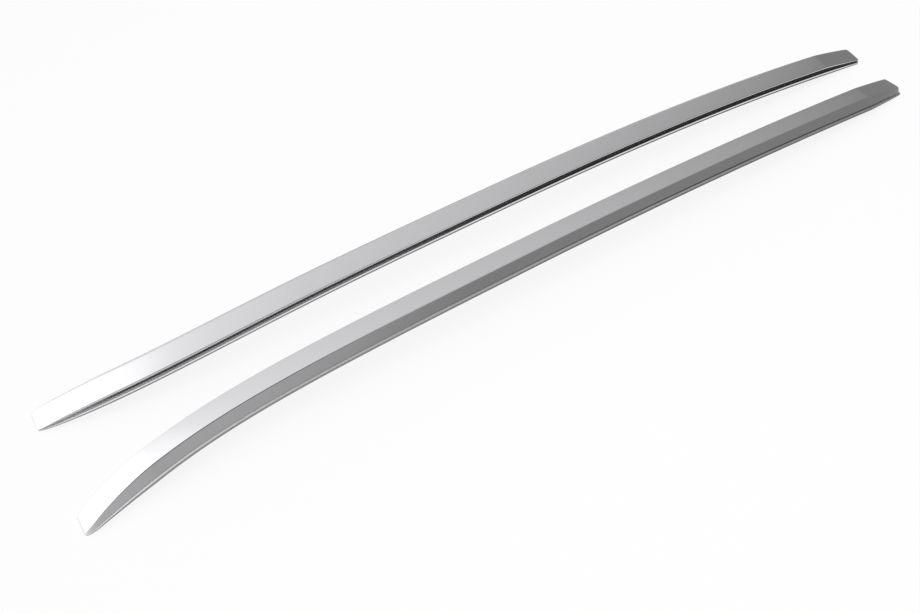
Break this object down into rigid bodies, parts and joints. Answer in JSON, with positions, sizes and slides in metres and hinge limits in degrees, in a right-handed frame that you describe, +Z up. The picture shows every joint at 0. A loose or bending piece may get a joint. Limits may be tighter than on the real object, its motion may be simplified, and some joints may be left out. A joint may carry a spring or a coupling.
{
  "type": "roof side rail pair",
  "caption": "Pair of slim, bowed, bright aluminium roof side rails with flat tops, flared outer sides, tapered tips and threaded fixings underneath.",
  "frame": {"origin": "middle of the pair's footprint, on the surface that the rails' tips rest on", "axes": "+X along the rails from the front tips to the rear tips, +Y across to the right rail, +Z up"},
  "size_m": [1.8, 0.26, 0.0883],
  "materials": {
    "polished_aluminium": "bright polished and anodised",
    "seal_rubber": "matte extruded rubber",
    "plated_steel": "zinc plated",
    "ring_plastic": "moulded, fine grain"
  },
  "bodies": {
    "root": {"left_rail": "polished_aluminium", "left_base_seal": "seal_rubber", "left_slot_nuts": "plated_steel", "left_bearing_pad_1": "ring_plastic", "left_bearing_pad_2": "ring_plastic", "left_bearing_pad_3": "ring_plastic", "left_bearing_pad_4": "ring_plastic", "left_bearing_pad_5": "ring_plastic", "right_rail": "polished_aluminium", "right_base_seal": "seal_rubber", "right_slot_nuts": "plated_steel", "right_bearing_pad_1": "ring_plastic", "right_bearing_pad_2": "ring_plastic", "right_bearing_pad_3": "ring_plastic", "right_bearing_pad_4": "ring_plastic", "right_bearing_pad_5": "ring_plastic"}
  },
  "joints": []
}
